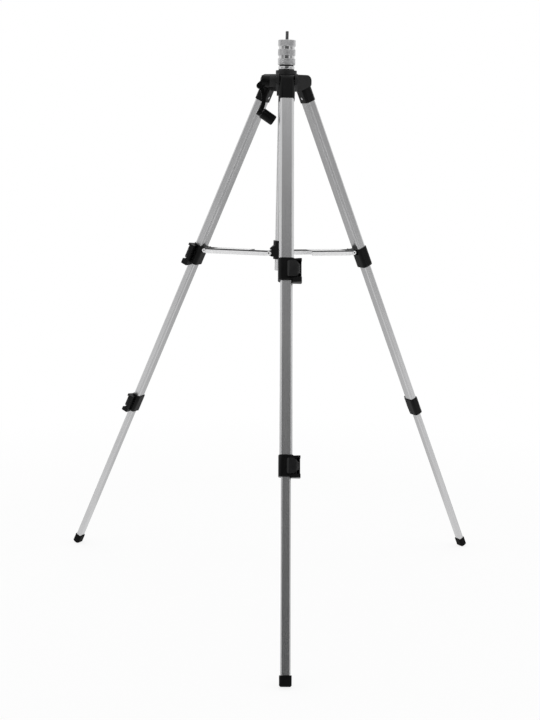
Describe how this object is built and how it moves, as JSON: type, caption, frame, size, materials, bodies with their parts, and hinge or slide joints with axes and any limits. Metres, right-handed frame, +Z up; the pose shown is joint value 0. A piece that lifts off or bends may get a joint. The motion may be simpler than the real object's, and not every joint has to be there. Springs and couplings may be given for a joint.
{
  "type": "laser level tripod",
  "caption": "Folding telescopic tripod with a geared centre column, braced flat-tube legs and a threaded stud that carries a laser level.",
  "frame": {"origin": "centre of the head's flat top face, at the foot of the threaded stud", "axes": "+Z up along the stud and the centre column, -Y towards the front leg, crank on the -X side"},
  "size_m": [0.848, 0.7357, 1.0618],
  "materials": {
    "black_plastic": "satin moulded, fine grain",
    "lever_plastic": "satin moulded, ribbed",
    "satin_tube": "satin anodised, drawn lengthwise",
    "brace_sheet": "bright rolled sheet",
    "bright_steel": "bright",
    "head_metal": "turned and knurled",
    "stud_steel": "threaded",
    "rack_plastic": "moulded",
    "rubber": "matte"
  },
  "bodies": {
    "frame": {"spider": "black_plastic", "leg_hinge_pins": "bright_steel", "guide_tube": "satin_tube"},
    "column": {"column_tube": "satin_tube", "column_rack": "rack_plastic", "column_plug": "head_metal", "column_guide": "black_plastic"},
    "head": {"head": "head_metal", "stud": "stud_steel"},
    "pinion": {"pinion_shaft": "bright_steel"},
    "crank": {"crank_hub": "black_plastic", "crank_fold_pin": "bright_steel"},
    "crank_arm": {"crank_arm": "black_plastic"},
    "crank_knob": {"crank_knob": "black_plastic"},
    "hub": {"brace_hub": "black_plastic"},
    "front_leg": {"front_knuckle": "black_plastic", "front_upper_tube": "satin_tube", "front_upper_clamp": "black_plastic", "front_upper_lever_pin": "bright_steel"},
    "front_upper_lever": {"front_upper_lever": "lever_plastic"},
    "front_middle": {"front_middle_tube": "satin_tube", "front_middle_bush": "black_plastic", "front_lower_clamp": "black_plastic", "front_lower_lever_pin": "bright_steel"},
    "front_lower_lever": {"front_lower_lever": "lever_plastic"},
    "front_lower": {"front_lower_tube": "satin_tube", "front_lower_bush": "black_plastic", "front_foot": "rubber"},
    "front_brace": {"front_brace": "brace_sheet", "front_brace_rivets": "bright_steel"},
    "right_leg": {"right_knuckle": "black_plastic", "right_upper_tube": "satin_tube", "right_upper_clamp": "black_plastic", "right_upper_lever_pin": "bright_steel"},
    "right_upper_lever": {"right_upper_lever": "lever_plastic"},
    "right_middle": {"right_middle_tube": "satin_tube", "right_middle_bush": "black_plastic", "right_lower_clamp": "black_plastic", "right_lower_lever_pin": "bright_steel"},
    "right_lower_lever": {"right_lower_lever": "lever_plastic"},
    "right_lower": {"right_lower_tube": "satin_tube", "right_lower_bush": "black_plastic", "right_foot": "rubber"},
    "right_brace": {"right_brace": "brace_sheet", "right_brace_rivets": "bright_steel"},
    "left_leg": {"left_knuckle": "black_plastic", "left_upper_tube": "satin_tube", "left_upper_clamp": "black_plastic", "left_upper_lever_pin": "bright_steel"},
    "left_upper_lever": {"left_upper_lever": "lever_plastic"},
    "left_middle": {"left_middle_tube": "satin_tube", "left_middle_bush": "black_plastic", "left_lower_clamp": "black_plastic", "left_lower_lever_pin": "bright_steel"},
    "left_lower_lever": {"left_lower_lever": "lever_plastic"},
    "left_lower": {"left_lower_tube": "satin_tube", "left_lower_bush": "black_plastic", "left_foot": "rubber"},
    "left_brace": {"left_brace": "brace_sheet", "left_brace_rivets": "bright_steel"}
  },
  "joints": [
    {"name": "front_leg_fold", "type": "hinge", "parent": "frame", "child": "front_leg", "pos_m": [0, -0.034, -0.0756], "axis": [1, 0, 0], "range_deg": [0, 22.74]},
    {"name": "front_brace_hinge", "type": "hinge", "parent": "front_leg", "child": "front_brace", "pos_m": [0, -0.16158, -0.39668], "axis": [1, 0, 0], "range_deg": [0, 62.4]},
    {"name": "front_upper_lever_turn", "type": "hinge", "parent": "front_leg", "child": "front_upper_lever", "pos_m": [0.01835, -0.19418, -0.40147], "axis": [0, 0.4185, 0.9082], "range_deg": [0, 100]},
    {"name": "front_middle_slide", "type": "slide", "parent": "front_leg", "child": "front_middle", "axis": [0, 0.4185, 0.9082], "range_m": [0, 0.275]},
    {"name": "front_lower_lever_turn", "type": "hinge", "parent": "front_middle", "child": "front_lower_lever", "pos_m": [0.01585, -0.33708, -0.7166], "axis": [0, 0.4185, 0.9082], "range_deg": [0, 100]},
    {"name": "front_lower_slide", "type": "slide", "parent": "front_middle", "child": "front_lower", "axis": [0, 0.4185, 0.9082], "range_m": [0, 0.315]},
    {"name": "right_leg_fold", "type": "hinge", "parent": "frame", "child": "right_leg", "pos_m": [0.02944, 0.017, -0.0756], "axis": [-0.5, 0.866, 0], "range_deg": [0, 22.74]},
    {"name": "right_brace_hinge", "type": "hinge", "parent": "right_leg", "child": "right_brace", "pos_m": [0.13993, 0.08079, -0.39668], "axis": [-0.5, 0.866, 0], "range_deg": [0, 62.4]},
    {"name": "right_upper_lever_turn", "type": "hinge", "parent": "right_leg", "child": "right_upper_lever", "pos_m": [0.15899, 0.11298, -0.40147], "axis": [-0.3624, -0.2093, 0.9082], "range_deg": [0, 100]},
    {"name": "right_middle_slide", "type": "slide", "parent": "right_leg", "child": "right_middle", "axis": [-0.3624, -0.2093, 0.9082], "range_m": [0, 0.275]},
    {"name": "right_lower_lever_turn", "type": "hinge", "parent": "right_middle", "child": "right_lower_lever", "pos_m": [0.28399, 0.18226, -0.7166], "axis": [-0.3624, -0.2093, 0.9082], "range_deg": [0, 100]},
    {"name": "right_lower_slide", "type": "slide", "parent": "right_middle", "child": "right_lower", "axis": [-0.3624, -0.2093, 0.9082], "range_m": [0, 0.315]},
    {"name": "left_leg_fold", "type": "hinge", "parent": "frame", "child": "left_leg", "pos_m": [-0.02944, 0.017, -0.0756], "axis": [-0.5, -0.866, 0], "range_deg": [0, 22.74]},
    {"name": "left_brace_hinge", "type": "hinge", "parent": "left_leg", "child": "left_brace", "pos_m": [-0.13993, 0.08079, -0.39668], "axis": [-0.5, -0.866, 0], "range_deg": [0, 62.4]},
    {"name": "left_upper_lever_turn", "type": "hinge", "parent": "left_leg", "child": "left_upper_lever", "pos_m": [-0.17734, 0.0812, -0.40147], "axis": [0.3624, -0.2093, 0.9082], "range_deg": [0, 100]},
    {"name": "left_middle_slide", "type": "slide", "parent": "left_leg", "child": "left_middle", "axis": [0.3624, -0.2093, 0.9082], "range_m": [0, 0.275]},
    {"name": "left_lower_lever_turn", "type": "hinge", "parent": "left_middle", "child": "left_lower_lever", "pos_m": [-0.29984, 0.15481, -0.7166], "axis": [0.3624, -0.2093, 0.9082], "range_deg": [0, 100]},
    {"name": "left_lower_slide", "type": "slide", "parent": "left_middle", "child": "left_lower", "axis": [0.3624, -0.2093, 0.9082], "range_m": [0, 0.315]},
    {"name": "hub_slide", "type": "slide", "parent": "frame", "child": "hub", "axis": [0, 0, 1], "range_m": [0, 0.11444]},
    {"name": "column_lift", "type": "slide", "parent": "frame", "child": "column", "axis": [0, 0, 1], "range_m": [0, 0.25]},
    {"name": "pinion_turn", "type": "hinge", "parent": "frame", "child": "pinion", "pos_m": [0, -0.0135, -0.0752], "axis": [1, 0, 0], "range_deg": [0, 3581]},
    {"name": "crank_turn", "type": "hinge", "parent": "frame", "child": "crank", "pos_m": [-0.0389, -0.0135, -0.0752], "axis": [1, 0, 0], "range_deg": [-175, 12]},
    {"name": "crank_unfold", "type": "hinge", "parent": "crank", "child": "crank_arm", "pos_m": [-0.0493, -0.0135, -0.084], "axis": [0, 1, 0], "range_deg": [0, 145]},
    {"name": "knob_spin", "type": "hinge", "parent": "crank_arm", "child": "crank_knob", "pos_m": [-0.03252, -0.0135, -0.14037], "axis": [0.8358, 0, -0.549], "continuous": true},
    {"name": "head_turn", "type": "hinge", "parent": "column", "child": "head", "pos_m": [0, 0, -0.023], "axis": [0, 0, 1], "continuous": true}
  ],
  "couplings": [
    {"joint": "front_brace_hinge", "follows": "front_leg_fold", "ratio": 2.7434},
    {"joint": "right_leg_fold", "follows": "front_leg_fold", "ratio": 1},
    {"joint": "right_brace_hinge", "follows": "front_leg_fold", "ratio": 2.7434},
    {"joint": "left_leg_fold", "follows": "front_leg_fold", "ratio": 1},
    {"joint": "left_brace_hinge", "follows": "front_leg_fold", "ratio": 2.7434},
    {"joint": "hub_slide", "follows": "front_leg_fold", "m_per_rad": 0.28833},
    {"joint": "pinion_turn", "follows": "column_lift", "rad_per_m": 250}
  ]
}
